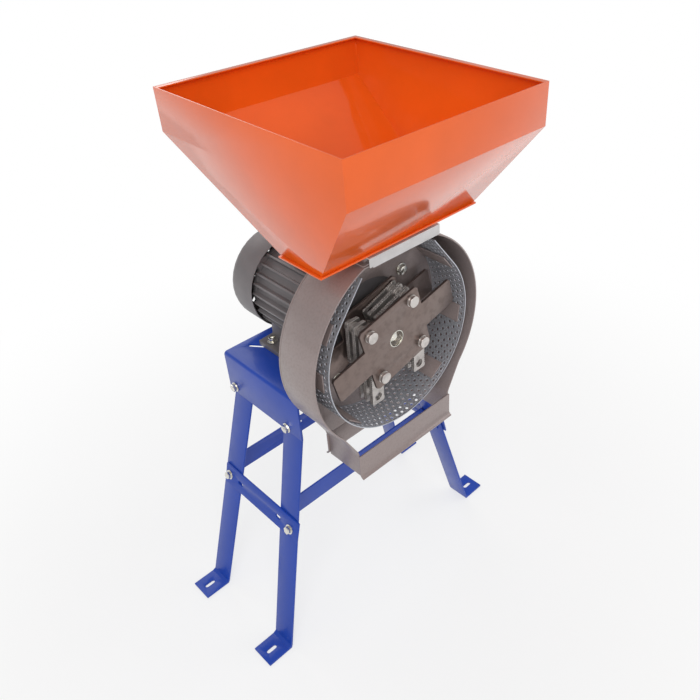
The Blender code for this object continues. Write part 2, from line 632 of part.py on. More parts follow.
B0, B1 = FRAME_Y0 + 30.0, FRAME_Y1 - 45.0
finish("stator_core", lathe([(58.0, B0), (MOTOR_BORE_R - 0.5, B0), (MOTOR_BORE_R - 0.5, B1), (58.0, B1)], 40), "core")
R = FRAME_Y1 + GAP
ears = []
for k in range(4):
    a = 45 + 90 * k
    ears += [(COWL_R - 2.3, a - 5), (COWL_R - 2.3, a + 5), (MOTOR_CORE_R + 2.0, a + 9)]
    ears += [(MOTOR_CORE_R + 2.0, a + 9 + (72 / 9) * m) for m in range(1, 9)]
ear_loop = [(r * math.cos(math.radians(a)), AXIS_Z + r * math.sin(math.radians(a))) for r, a in ears]
rear = finish("motor_rear_shield", slab_xz([ear_loop, ring(0, AXIS_Z, 31.4, 48)], R, R + 12.0), "motor")
boolean(rear, [helper(lathe([(16.5, R + 11.0), (42.0, R + 11.0), (42.0, R + 20.0), (16.5, R + 20.0)], 48))], "UNION")
FAN_Y = R + 26.0
spin_part("motor_shaft", lathe(
    [(0.0, SHAFT_END_Y + 28.0), (6.8, SHAFT_END_Y + 28.0), (6.8, SHAFT_END_Y), (SHAFT_R, SHAFT_END_Y),
     (SHAFT_R, REAR_Y1 + GAP), (19.0, REAR_Y1 + GAP), (19.0, F + 12.0), (15.0, F + 12.0), (15.0, F + 34.0),
     (20.0, F + 34.0), (20.0, B0 + 4.0), (57.0, B0 + 4.0), (57.0, B1 - 4.0), (20.0, B1 - 4.0),
     (20.0, R - 6.0), (15.0, R - 6.0), (15.0, R + 14.0), (11.0, R + 14.0), (11.0, FAN_Y + 26.0),
     (0.0, FAN_Y + 26.0)], 28), "steel")
for name, y0 in (("bearing_front", F + 14.0), ("bearing_rear", R - 5.4)):
    finish(name, lathe([(15.5, y0), (31.0, y0), (31.0, y0 + 16.0), (15.5, y0 + 16.0)], 32), "steel")

fan = spin_part("cooling_fan", lathe([(11.6, FAN_Y), (30.0, FAN_Y), (34.0, FAN_Y + 12.0), (60.0, FAN_Y + 14.0),
                                   (60.0, FAN_Y + 17.0), (24.0, FAN_Y + 17.0), (20.0, FAN_Y + 24.0),
                                   (11.6, FAN_Y + 24.0)], 40), "plastic")
blades = []
for k in range(7):
    loop = rotate([(24.0, -1.5), (84.0, -1.5), (84.0, 1.5), (24.0, 1.5)], 360.0 * k / 7)
    blades.append(helper(slab_xz([move(loop, 0.0, AXIS_Z)], FAN_Y - 5.0, FAN_Y + 16.0)))
boolean(fan, blades, "UNION")

outer, inner = [(COWL_R, COWL_Y0)], [(COWL_R - 1.6, COWL_Y0)]
for k in range(4):
    a = math.radians(90.0 * k / 3)
    outer.append((COWL_R - 18.0 + 18.0 * math.cos(a), COWL_Y1 - 18.0 + 18.0 * math.sin(a)))
    inner.append((COWL_R - 18.0 + 16.4 * math.cos(a), COWL_Y1 - 18.0 + 16.4 * math.sin(a)))
cowl = finish("fan_cover", lathe(outer + [(0.0, COWL_Y1), (0.0, COWL_Y1 - 1.6)] + list(reversed(inner)), 36), "motor")
slots = []
for k in range(8):
    a = 45.0 * k
    for r0, r1, w in ((24.0, 46.0, 5.0), (54.0, 86.0, 7.0)):
        slots.append(helper(slab_xz([move(rotate(rect(r0, r1, -w / 2, w / 2), a), 0.0, AXIS_Z)],
                                    COWL_Y1 - 6.0, COWL_Y1 + 4.0)))
boolean(cowl, slots, "DIFFERENCE")

tx, ty0, ty1, tz = 52.0, FRAME_Y0 + 48.0, FRAME_Y0 + 162.0, AXIS_Z + MOTOR_R + 6.0 + GAP
finish("terminal_box", loft_rects([
    (-tx, tx, ty0, ty1, tz), (-tx, tx, ty0, ty1, tz + 46.0), (-tx + 3, tx - 3, ty0 + 3, ty1 - 3, tz + 46.0),
    (-tx + 3, tx - 3, ty0 + 3, ty1 - 3, tz + 3.0), (-15.0, 15.0, ty0 + 30, ty1 - 30, tz + 3.0),
    (-15.0, 15.0, ty0 + 30, ty1 - 30, tz)]), "motor")
finish("terminal_lid", box(bmesh.new(), -tx - 1, tx + 1, ty0 - 1, ty1 + 1, tz + 46.0 + GAP, tz + 54.0), "motor")

# ---------------------------------------------------------------- feed
y0, y1 = 2.0, CASE_D - 2.0
iy0, iy1 = INLET_Y
collar = finish("gate_collar", loft_rects([
    (-TOP_HALF, TOP_HALF, y0, y1, COLLAR_Z0), (-TOP_HALF, TOP_HALF, y0, y1, COLLAR_Z0 + 3.0),
    (-INLET_X - 3, INLET_X + 3, iy0 - 3, iy1 + 3, COLLAR_Z0 + 3.0),
    (-INLET_X - 3, INLET_X + 3, iy0 - 3, iy1 + 3, COLLAR_Z1 - 3.0),
    (-GATE_HALF - 4, GATE_HALF + 4, y0, y1, COLLAR_Z1 - 3.0), (-GATE_HALF - 4, GATE_HALF + 4, y0, y1, COLLAR_Z1),
    (-INLET_X, INLET_X, iy0, iy1, COLLAR_Z1), (-INLET_X, INLET_X, iy0, iy1, COLLAR_Z0)]), "case")
rails = [helper(box(bmesh.new(), min(s * (GATE_HALF + 0.7), s * (GATE_HALF + 4)),
                    max(s * (GATE_HALF + 0.7), s * (GATE_HALF + 4)), y0, y1, COLLAR_Z1 - 1.5, HOPPER_Z - GAP))
         for s in (-1, 1)]
boolean(collar, rails, "UNION")
lip_y = -(BASE_D - CASE_D)
gate_loop = [(lip_y - 2.0, GATE_Z - 10.0), (lip_y, GATE_Z - 10.0), (lip_y, GATE_Z), (y1 - 4.0, GATE_Z),
             (y1 - 4.0, GATE_Z + GATE_T), (lip_y - 2.0, GATE_Z + GATE_T)]
finish("feed_gate", slab_yz([gate_loop], -GATE_HALF, GATE_HALF), "galv")

bx, by0, by1, hz = BASE_W / 2, CASE_D - BASE_D, CASE_D, HOPPER_Z
fx, fy = 12.0, 8.0        # base rim outside the funnel
hx, hy0, hy1, s = HOPPER_W / 2, -HOPPER_FRONT, HOPPER_D - HOPPER_FRONT, SHEET
hem = 12.0
finish("hopper", loft_rects([
    (-bx, bx, by0, by1, hz), (-bx, bx, by0, by1, hz + 3), (-bx + fx, bx - fx, by0 + fy, by1 - fy, hz + 3),
    (-hx, hx, hy0, hy1, BAND_Z), (-hx, hx, hy0, hy1, RIM_Z), (-hx + s, hx - hem, hy0 + s, hy1 - hem, RIM_Z),
    (-hx + s, hx - hem, hy0 + s, hy1 - hem, RIM_Z - s), (-hx + s, hx - s, hy0 + s, hy1 - s, RIM_Z - s),
    (-hx + s, hx - s, hy0 + s, hy1 - s, BAND_Z + 0.6),
    (-bx + fx + 2.4, bx - fx - 2.4, by0 + fy + 2.4, by1 - fy - 2.4, hz + 3),
    (-INLET_X, INLET_X, iy0, iy1, hz + 3), (-INLET_X, INLET_X, iy0, iy1, hz)]), "orange")
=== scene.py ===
"""Hammer mill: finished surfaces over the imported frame, laid out as a Blender add-on."""
import json
import math

import bmesh
import bpy
from bpy.props import FloatProperty, FloatVectorProperty, IntProperty, PointerProperty
from mathutils import Matrix, Vector
from mathutils.bvhtree import BVHTree


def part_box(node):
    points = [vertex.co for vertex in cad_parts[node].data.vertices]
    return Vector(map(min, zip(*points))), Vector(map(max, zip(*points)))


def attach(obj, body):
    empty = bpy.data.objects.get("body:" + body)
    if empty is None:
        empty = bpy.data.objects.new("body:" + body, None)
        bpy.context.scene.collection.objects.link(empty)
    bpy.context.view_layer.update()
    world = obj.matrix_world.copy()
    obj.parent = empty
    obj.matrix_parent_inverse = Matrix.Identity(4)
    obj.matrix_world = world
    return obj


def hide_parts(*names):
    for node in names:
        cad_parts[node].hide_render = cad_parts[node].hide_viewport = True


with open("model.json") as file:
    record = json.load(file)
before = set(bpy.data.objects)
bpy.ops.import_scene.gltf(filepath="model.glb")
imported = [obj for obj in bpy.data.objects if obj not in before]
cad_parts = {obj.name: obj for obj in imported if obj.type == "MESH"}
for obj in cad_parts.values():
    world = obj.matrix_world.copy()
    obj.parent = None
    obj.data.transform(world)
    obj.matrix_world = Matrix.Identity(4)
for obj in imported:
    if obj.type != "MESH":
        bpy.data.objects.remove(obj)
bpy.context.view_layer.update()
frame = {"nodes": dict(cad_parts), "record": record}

bl_info = {
    "name": "Hammer mill",
    "version": (1, 0, 0),
    "blender": (4, 5, 0),
    "location": "View3D > Sidebar > Mill",
    "description": "Builds a motor-driven hammer mill piece by piece over its mechanical frame",
    "category": "Object",
}

NODES = frame["nodes"]
BODY_OF = {node: body for body, nodes in frame["record"]["behaviour"]["bodies"].items() for node in nodes}
SLOT_OF = {entry["node"]: entry["material_slot"] for entry in frame["record"]["subparts"]}
JOINTS = {joint["name"]: joint for joint in frame["record"]["behaviour"]["joints"]}


# ------------------------------------------------------------------ sizes and colours
class MillSizes(bpy.types.PropertyGroup):
    """Sizes of the finishing detail"""
    fold_radius: FloatProperty(name="Fold radius", description="Outer radius of the sheet folds",
                               default=0.0012, min=0.0002, max=0.004, subtype="DISTANCE", unit="LENGTH")
    edge_radius: FloatProperty(name="Edge radius", description="Radius on plate and casting edges",
                               default=0.0009, min=0.0001, max=0.002, subtype="DISTANCE", unit="LENGTH")
    hole_pitch: FloatProperty(name="Screen hole pitch", description="Distance between rows of screen holes",
                              default=0.0146, min=0.006, max=0.03, subtype="DISTANCE", unit="LENGTH")
    hole_radius: FloatProperty(name="Screen hole radius", description="Radius of one screen hole",
                               default=0.0034, min=0.001, max=0.01, subtype="DISTANCE", unit="LENGTH")
    hammer_teeth: IntProperty(name="Hammer teeth", description="Teeth along each long edge of a hammer",
                              default=15, min=3, max=30)
    bolt_flats: FloatProperty(name="Bolt head", description="Width across the flats of the stand bolts",
                              default=0.016, min=0.006, max=0.03, subtype="DISTANCE", unit="LENGTH")


class MillColours(bpy.types.PropertyGroup):
    """Colours of the paints and metals"""
    hopper: FloatVectorProperty(name="Hopper paint", description="Gloss paint of the hopper",
                                default=(0.88, 0.128, 0.010), size=3, min=0, max=1, subtype="COLOR")
    stand: FloatVectorProperty(name="Stand paint", description="Gloss paint of the stand",
                               default=(0.014, 0.062, 0.42), size=3, min=0, max=1, subtype="COLOR")
    housing: FloatVectorProperty(name="Housing paint", description="Hammered paint of the grinding chamber",
                                 default=(0.33, 0.27, 0.26), size=3, min=0, max=1, subtype="COLOR")
    motor: FloatVectorProperty(name="Motor paint", description="Satin paint of the motor",
                               default=(0.19, 0.175, 0.18), size=3, min=0, max=1, subtype="COLOR")
    rotor: FloatVectorProperty(name="Rotor plate", description="Dark bronze finish of the rotor plates",
                               default=(0.20, 0.155, 0.14), size=3, min=0, max=1, subtype="COLOR")
    screen: FloatVectorProperty(name="Screen", description="Galvanised steel of the screen",
                                default=(0.56, 0.58, 0.63), size=3, min=0, max=1, subtype="COLOR")
    gate: FloatVectorProperty(name="Gate", description="Bright galvanised steel of the slide gate",
                              default=(0.66, 0.65, 0.65), size=3, min=0, max=1, subtype="COLOR")
    steel: FloatVectorProperty(name="Hammer steel", description="Rolled steel of the hammers and pins",
                               default=(0.50, 0.47, 0.45), size=3, min=0, max=1, subtype="COLOR")
    zinc: FloatVectorProperty(name="Zinc plate", description="Zinc plating of the bolts",
                              default=(0.78, 0.77, 0.74), size=3, min=0, max=1, subtype="COLOR")


# ------------------------------------------------------------------ shader expressions
class Wire:
    """A node socket that takes part in Python arithmetic."""

    def __init__(self, shader, socket):
        self.shader, self.socket = shader, socket

    def _math(self, operation, *values):
        return self.shader.node("ShaderNodeMath", {"operation": operation}, *values)

    def __add__(self, other):
        return self._math("ADD", self, other)

    def __sub__(self, other):
        return self._math("SUBTRACT", self, other)

    def __rsub__(self, other):
        return self._math("SUBTRACT", other, self)

    def __mul__(self, other):
        return self._math("MULTIPLY", self, other)

    def __truediv__(self, other):
        return self._math("DIVIDE", self, other)

    __radd__, __rmul__ = __add__, __mul__

    def clamp(self, low, high):
        """0 below low, 1 above high, smooth between."""
        settings = {"interpolation_type": "SMOOTHSTEP"}
        return self.shader.node("ShaderNodeMapRange", settings, self, low, high, 0.0, 1.0)


class Shader:
    """One material whose nodes are added by calls and expressions."""

    def __init__(self, name):
        self.material = bpy.data.materials.new(name)
        self.material.use_nodes = True
        self.tree = self.material.node_tree
        self.bsdf = self.tree.nodes["Principled BSDF"]
        self.at = self.tree.nodes.new("ShaderNodeTexCoord").outputs["Object"]

    def node(self, kind, settings=None, *values, output=0, **named):
        made = self.tree.nodes.new(kind)
        for key, value in (settings or {}).items():
            if key == "stops":
                ramp = made.color_ramp
                while len(ramp.elements) < len(value):
                    ramp.elements.new(0.5)
                for element, (place, colour) in zip(ramp.elements, value):
                    element.position, element.color = place, colour
            else:
                setattr(made, key, value)
        for socket, value in list(zip(made.inputs, values)) + [(made.inputs[k], v) for k, v in named.items()]:
            self.join(value, socket)
        return Wire(self, made.outputs[output])

    def join(self, value, socket):
        if isinstance(value, Wire):
            self.tree.links.new(value.socket, socket)
        elif value is not None:
            socket.default_value = value

    def stretch(self, scale):
        return self.node("ShaderNodeMapping", None, Wire(self, self.at), None, None, scale)

    def noise(self, scale, detail=3.0, rough=0.5, vector=None):
        return self.node("ShaderNodeTexNoise", None, Vector=vector or Wire(self, self.at), Scale=scale,
                         Detail=detail, Roughness=rough)

    def cells(self, scale, feature="F1", output="Distance"):
        made = self.node("ShaderNodeTexVoronoi", {"feature": feature}, Vector=Wire(self, self.at), Scale=scale)
        return Wire(self, made.socket.node.outputs[output])

    def mix(self, amount, low, high):
        made = self.tree.nodes.new("ShaderNodeMix")
        made.data_type = "RGBA"
        self.join(amount, made.inputs["Factor"])
        for name, value in (("A", low), ("B", high)):
            socket = [s for s in made.inputs if s.name == name and s.type == "RGBA"][0]
            self.join(value if isinstance(value, Wire) else (*value, 1.0), socket)
        return Wire(self, [s for s in made.outputs if s.type == "RGBA"][0])

    def bump(self, height, distance, strength=1.0):
        return self.node("ShaderNodeBump", None, Strength=strength, Distance=distance, Height=height)

    def set(self, **values):
        for name, value in values.items():
            self.join(value, self.bsdf.inputs[name.replace("_", " ")])
        return self.material


def shade(colour, factor):
    return tuple(min(1.0, max(0.0, channel * factor)) for channel in colour)


def gloss_paint(name, colour, peel=0.00003, coat=0.4, gloss=0.22, worn=0.0, under=(0.09, 0.09, 0.10)):
    """Sprayed gloss paint with orange peel, faint dust, and scuffs down to the primer where worn."""
    s = Shader(name)
    cloud = s.noise(5.0, 4.0).clamp(0.35, 0.7)
    base = s.mix(cloud, shade(colour, 0.93), shade(colour, 1.05))
    rough = gloss + s.noise(38.0, 5.0).clamp(0.4, 0.75) * 0.06
    height = s.noise(150.0, 2.0)
    if worn > 0.0:
        scrape = s.noise(60.0, 6.0, 0.7, s.stretch((0.25, 1.0, 2.5))).clamp(0.72 - 0.05 * worn, 0.74 - 0.05 * worn)
        chips = s.cells(170.0).clamp(0.13, 0.09) * s.noise(14.0, 2.0).clamp(0.60, 0.66)
        marks = scrape * 0.7 * worn + chips * worn
        base = s.mix(marks, base, under)
        rough = rough + marks * 0.3
        height = height - marks * 0.4
    return s.set(Base_Color=base, Roughness=rough, Metallic=0.0, Coat_Weight=coat, Coat_Roughness=0.06,
                 Specular_IOR_Level=0.28, Normal=s.bump(height, peel, 0.35))


def hammered_paint(name, colour):
    """Hammer-tone metallic paint: small smooth dimples with darker rims."""
    s = Shader(name)
    dimple = s.cells(260.0, "SMOOTH_F1")
    cloud = s.noise(7.0, 3.0).clamp(0.3, 0.7)
    ripple = s.noise(9.0, 1.0, 0.3, s.stretch((1.0, 0.15, 3.0)))
    base = s.mix(dimple.clamp(0.25, 0.75), shade(colour, 1.03), shade(colour, 0.93))
    base = s.mix(cloud * 0.35, base, shade(colour, 0.9))
    grime = s.noise(26.0, 6.0, 0.65).clamp(0.62, 0.8)
    base = s.mix(grime * 0.25, base, shade(colour, 0.55))
    return s.set(Base_Color=base, Roughness=0.34 + dimple * 0.12 + grime * 0.15, Metallic=0.35, Coat_Weight=0.2,
                 Coat_Roughness=0.2, Normal=s.bump(dimple * 0.012 + ripple, 0.006, 0.6))


def cast_paint(name, colour):
    """Satin machine paint over a cast or drawn surface."""
    s = Shader(name)
    grain = s.noise(650.0, 4.0, 0.6)
    cloud = s.noise(11.0, 3.0).clamp(0.3, 0.7)
    dust = s.noise(45.0, 5.0, 0.7).clamp(0.6, 0.8)
    base = s.mix(cloud, shade(colour, 0.88), shade(colour, 1.1))
    base = s.mix(dust * 0.22, base, (0.30, 0.28, 0.27))
    return s.set(Base_Color=base, Roughness=0.40 + grain * 0.16, Metallic=0.15, Coat_Weight=0.15,
                 Coat_Roughness=0.3, Normal=s.bump(grain, 0.00012, 0.6))


def galvanised(name, colour):
    """Zinc-coated sheet with soft crystal spangle and handling marks."""
    s = Shader(name)
    spangle = s.cells(150.0, output="Color")
    tone = s.node("ShaderNodeSeparateColor", None, spangle)
    smear = s.noise(30.0, 5.0, 0.6, s.stretch((1.0, 4.0, 1.0))).clamp(0.35, 0.75)
    base = s.mix(tone * 0.5 + 0.2, shade(colour, 0.93), shade(colour, 1.07))
    base = s.mix(smear * 0.2, base, shade(colour, 0.7))
    return s.set(Base_Color=base, Roughness=0.40 + tone * 0.06 + smear * 0.10, Metallic=0.7,
                 Normal=s.bump(s.noise(60.0, 2.0), 0.0002, 0.3))


def rolled_steel(name, colour, blotch=0.5, lines=(1.0, 1.0, 8.0)):
    """Bare or oiled steel with mill scale blotches and fine drawn lines."""
    s = Shader(name)
    scale = s.noise(55.0, 6.0, 0.65).clamp(0.42, 0.66)
    line = s.noise(260.0, 4.0, 0.6, s.stretch(lines))
    rust = s.noise(90.0, 5.0, 0.7).clamp(0.66, 0.78)
    base = s.mix(scale * blotch, shade(colour, 1.15), shade(colour, 0.5))
    base = s.mix(rust * 0.35, base, (0.20, 0.10, 0.055))
    return s.set(Base_Color=base, Roughness=0.28 + scale * 0.2 + line * 0.1, Metallic=0.9,
                 Normal=s.bump(line + scale * 0.4, 0.00006, 0.6))


def bright_plate(name, colour):
    """Zinc-plated fastener finish with a faint yellow and blue cast."""
    s = Shader(name)
    cast = s.noise(140.0, 2.0).clamp(0.35, 0.65)
    base = s.mix(cast, shade(colour, 0.92), (colour[0], colour[1] * 0.98, colour[2] * 0.9))
    return s.set(Base_Color=base, Roughness=0.17 + s.noise(800.0, 2.0) * 0.12, Metallic=0.95,
                 Normal=s.bump(s.noise(700.0, 2.0), 0.00003, 0.4))


def black_moulding(name):
    s = Shader(name)
    grain = s.noise(900.0, 3.0)
    return s.set(Base_Color=s.mix(grain, (0.012, 0.012, 0.013), (0.03, 0.03, 0.032)), Roughness=0.42 + grain * 0.15,
                 Normal=s.bump(grain, 0.00005, 0.5))


FINISHES = {}


def finish_for(slot):
    """The material of a record slot, made once."""
    c = bpy.context.scene.mill_colours
    makers = {
        "hopper_paint": lambda n: gloss_paint(n, c.hopper, coat=0.5, gloss=0.16),
        "stand_paint": lambda n: gloss_paint(n, c.stand, coat=0.12, gloss=0.3, worn=0.2),
        "housing_paint": lambda n: hammered_paint(n, c.housing),
        "motor_paint": lambda n: cast_paint(n, c.motor),
        "screen_steel": lambda n: galvanised(n, c.screen),
        "gate_steel": lambda n: galvanised(n, c.gate),
        "rotor_plate": lambda n: rolled_steel(n, c.rotor, 0.12, (1.0, 1.0, 6.0)),
        "turned_steel": lambda n: rolled_steel(n, shade(c.steel, 1.15), 0.3, (1.0, 6.0, 1.0)),
        "hammer_steel": lambda n: rolled_steel(n, c.steel, 0.35),
        "zinc_plate": lambda n: bright_plate(n, c.zinc),
        "fan_plastic": black_moulding,
        "core_steel": lambda n: rolled_steel(n, (0.24, 0.17, 0.13), 0.4, (1.0, 30.0, 1.0)),
    }
    if slot not in FINISHES:
        FINISHES[slot] = makers[slot](slot)
    return FINISHES[slot]


# ------------------------------------------------------------------ modelling helpers
def only(obj):
    if bpy.context.mode != "OBJECT":
        bpy.ops.object.mode_set(mode="OBJECT")
    bpy.ops.object.select_all(action="DESELECT")
    obj.select_set(True)
    bpy.context.view_layer.objects.active = obj


def edit(obj, action="SELECT"):
    only(obj)
    bpy.ops.object.mode_set(mode="EDIT")
    bpy.ops.mesh.select_mode(type="VERT")
    bpy.ops.mesh.select_all(action=action)


def done():
    bpy.ops.object.mode_set(mode="OBJECT")


def pick(obj, test):
    """In edit mode, select the faces whose centre and normal pass the test."""
    bpy.ops.mesh.select_mode(type="FACE")
    bpy.ops.mesh.select_all(action="DESELECT")
    done()
    for face in obj.data.polygons:
        face.select = bool(test(face.center, face.normal))
    bpy.ops.object.mode_set(mode="EDIT")


def modify(obj, kind, **settings):
    only(obj)
    modifier = obj.modifiers.new(kind.title(), kind)
    for key, value in settings.items():
        setattr(modifier, key, value)
    bpy.ops.object.modifier_apply(modifier=modifier.name)


def place(obj):
    only(obj)
    bpy.ops.object.transform_apply(location=True, rotation=True, scale=True)


def smooth(obj, degrees=32.0):
    only(obj)
    bpy.ops.object.shade_smooth_by_angle(angle=math.radians(degrees))


def round_edges(obj, width, segments=2, degrees=32.0):
    modify(obj, "BEVEL", width=width, segments=segments, limit_method="ANGLE",
           angle_limit=math.radians(degrees), harden_normals=False)


def carve(obj, tools):
    """Cut the tools out of the object and remove them."""
    for tool in tools:
        modify(obj, "BOOLEAN", object=tool, operation="DIFFERENCE", solver="EXACT")
        bpy.data.objects.remove(tool, do_unlink=True)


def claim(obj, body, slot, *nodes):
    """Give the piece its finish and its body, and let it stand for these nodes."""
    obj.data.materials.clear()
    obj.data.materials.append(finish_for(slot))
    only(obj)
    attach(obj, body)
    if nodes:
        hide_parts(*nodes)
    return obj


def copy_of(node, name):
    """A merged copy of a node's solid, free to be worked on."""
    source = NODES[node]
    obj = bpy.data.objects.new(name, source.data.copy())
    bpy.context.scene.collection.objects.link(obj)
    edit(obj)
    bpy.ops.mesh.remove_doubles(threshold=0.000002)
    bpy.ops.mesh.dissolve_limited(angle_limit=math.radians(0.6))
    done()
    return obj


def refine(node, width, segments=2, degrees=32.0, tools=(), sharp=32.0):
    """Round the edges of a node's solid and let the result stand for it."""
    obj = copy_of(node, node + "_finished")
    carve(obj, tools)
    round_edges(obj, width, segments, degrees)
    smooth(obj, sharp)
    return claim(obj, BODY_OF[node], SLOT_OF[node], node)


def joined(parts, name):
    """All the parts as one object under a new name."""
    only(parts[0])
    for part in parts[1:]:
        part.select_set(True)
    bpy.ops.object.join()
    parts[0].name = name
    return parts[0]


def duplicate(obj, matrix, name):
    twin = bpy.data.objects.new(name, obj.data.copy())
    bpy.context.scene.collection.objects.link(twin)
    twin.data.transform(matrix)
    twin.data.update()
    return twin


def rod(radius, depth, at, axis, vertices=32):
    """A plain cylinder used as a cutter or as the start of a turned piece."""
    turn = Vector((0, 0, 1)).rotation_difference(Vector(axis)).to_euler()
    bpy.ops.object.select_all(action="DESELECT")
    bpy.ops.mesh.primitive_cylinder_add(vertices=vertices, radius=radius, depth=depth, location=at, rotation=turn)
    obj = bpy.context.object
    place(obj)
    return obj


def slot_cutter(at, along, width, length, depth, axis):
    """Round-ended bar along one direction, made from a rod pulled apart."""
    obj = rod(width / 2, depth, (0, 0, 0), (0, 0, 1), 24)
    for vertex in obj.data.vertices:
        if vertex.co.x > 1e-6:
            vertex.co.x += (length - width) / 2
        elif vertex.co.x < -1e-6:
            vertex.co.x -= (length - width) / 2
    z = Vector(axis).normalized()
    x = Vector(along).normalized()
    y = z.cross(x)
    obj.data.transform(Matrix.Translation(at) @ Matrix((x, y, z)).transposed().to_4x4())
    return obj


def hex_bolt(flats, head, washer_radius, washer=0.0022):
    """Hexagon bolt head with a chamfered crown on a plain washer, standing along +Z from the origin."""
    bpy.ops.object.select_all(action="DESELECT")
    bpy.ops.mesh.primitive_cylinder_add(vertices=6, radius=flats / math.sqrt(3), depth=head,
                                        location=(0, 0, washer + head / 2))
    bolt = bpy.context.object
    place(bolt)
    edit(bolt)
    pick(bolt, lambda centre, normal: normal.z > 0.9)
    bpy.ops.mesh.inset(thickness=flats * 0.07, depth=0.0)
    bpy.ops.mesh.inset(thickness=flats * 0.06, depth=flats * 0.05)
    bpy.ops.mesh.inset(thickness=flats * 0.05, depth=-flats * 0.015)
    done()
    round_edges(bolt, flats * 0.02, 2, 40.0)
    ring = rod(washer_radius, washer, (0, 0, washer / 2), (0, 0, 1), 40)
    round_edges(ring, washer * 0.25, 2)
    joined([bolt, ring], "hex_bolt")
    smooth(bolt, 35.0)
    return bolt


def turned_to(at, axis, roll=0.0):
    """The turn and move that stand a part made along +Z from the origin on its place."""
    z = Vector(axis).normalized()
    turn = Vector((0, 0, 1)).rotation_difference(z).to_matrix().to_4x4()
    return Matrix.Translation(at) @ turn @ Matrix.Rotation(roll, 4, "Z")


def surface(node, start, toward):
    """Where a line from start first meets a node's solid, and the way that surface faces."""
    mesh = NODES[node].data
    tree = BVHTree.FromPolygons([v.co for v in mesh.vertices], [f.vertices for f in mesh.polygons])
    return tree.ray_cast(start, Vector(toward))[:2]


def mid(node):
    """Middle of a node's box."""
    low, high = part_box(node)
    return (Vector(low) + Vector(high)) / 2


FRONT_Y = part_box("housing_shell")[0][1]          # front edge of the grinding chamber
AXIS_Z = JOINTS["rotor_spin"]["pos_m"][2]
PIN_RADIUS = 0.0807
ROTOR_TURN = math.radians(14.0)
LIP_FOLD, LIP_DROP = 0.006, 0.0085               # the gate's lip: how high it starts, how much lower it hangs


def deep(x, y, z):
    """A point whose y is counted back from the front edge of the chamber."""
    return Vector((x, FRONT_Y + y, z))


# ------------------------------------------------------------------ hopper and gate
class MILL_OT_hopper(bpy.types.Operator):
    """Finish the feed hopper: rounded folds, corner welds and a seam groove round its base"""
    bl_idname = "mill.hopper"
    bl_label = "Hopper"

    def block(self, across, deep_range, up):
        """Box cutter between two corners."""
        spans = (across, deep_range, up)
        bpy.ops.object.select_all(action="DESELECT")
        bpy.ops.mesh.primitive_cube_add(size=1.0, location=[(a + b) / 2 for a, b in spans],
                                        scale=[b - a for a, b in spans])
        cutter = bpy.context.object
        place(cutter)
        return cutter

    def execute(self, context):
        low, high = (Vector(v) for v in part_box("hopper"))
        hopper = copy_of("hopper", "hopper_finished")
        for vertex in hopper.data.vertices:
            if abs(vertex.co.z - low.z - 0.003) < 0.0005 and 0.17 < abs(vertex.co.x) < 0.185:
                front = vertex.co.y < FRONT_Y + 0.04
                vertex.co.x += math.copysign(0.0075, vertex.co.x)
                vertex.co.y += -0.0045 if front else 0.0045
        reach = max(v.co.x for v in hopper.data.vertices if abs(v.co.z - low.z - 0.003) < 0.0005 and v.co.x < 0.189)
        front = FRONT_Y - 0.0140 + 0.0035
        back = FRONT_Y + 0.0960 - 0.0035
        seam = self.block((-0.21, 0.21), (front - 0.02, back + 0.02), (low.z + 0.0030, low.z + 0.0046))
        core = self.block((-reach + 0.0012, reach - 0.0012), (front + 0.0012, back - 0.0012),
                          (low.z + 0.001, low.z + 0.007))
        carve(seam, [core])
        carve(hopper, [seam])
        round_edges(hopper, 0.0005, 2, 25.0)
        smooth(hopper)
        claim(hopper, "mill", "hopper_paint", "hopper")
        band = high.z - 0.076
        seams = []
        for x, y, sx, sy in ((low.x, low.y, 1, 1), (high.x, low.y, -1, 1), (low.x, high.y, 1, -1),
                             (high.x, high.y, -1, -1)):
            bead = rod(0.0019, 0.058, (x + sx * 0.0022, y + sy * 0.0022, band + 0.034), (0, 0, 1), 10)
            edit(bead)
            bpy.ops.mesh.subdivide(number_cuts=1)
            done()
            round_edges(bead, 0.0007, 2, 50.0)
            smooth(bead, 60.0)
            seams.append(bead)
        claim(joined(seams, "hopper_corner_welds"), "mill", "hopper_paint")
        return {"FINISHED"}


class MILL_OT_gate(bpy.types.Operator):
    """Finish the slide gate, its collar and the notch in its front corner"""
    bl_idname = "mill.gate"
    bl_label = "Slide gate"

    def execute(self, context):
        low = Vector(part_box("feed_gate")[0])
        bpy.ops.object.select_all(action="DESELECT")
        bpy.ops.mesh.primitive_cube_add(size=1.0, location=(low.x, low.y, low.z),
                                        scale=(0.016, 0.012, 0.005))
        notch = context.object
        place(notch)
        round_edges(notch, 0.001, 3)
        gate = refine("feed_gate", 0.0004, 2, 32.0, tools=[notch])
        for vertex in gate.data.vertices:
            if vertex.co.z < low.z + LIP_FOLD:
                vertex.co.z -= LIP_DROP
        refine("gate_collar", 0.0006, 2)
        return {"FINISHED"}


# ------------------------------------------------------------------ grinding chamber
class MILL_OT_housing(bpy.types.Operator):
    """Finish the chamber shell, back plate and discharge lips"""
    bl_idname = "mill.housing"
    bl_label = "Grinding chamber"

    def execute(self, context):
        for node in NODES:
            if SLOT_OF[node] == "housing_paint" and node != "gate_collar":
                refine(node, 0.0006, 2, 28.0)
        return {"FINISHED"}


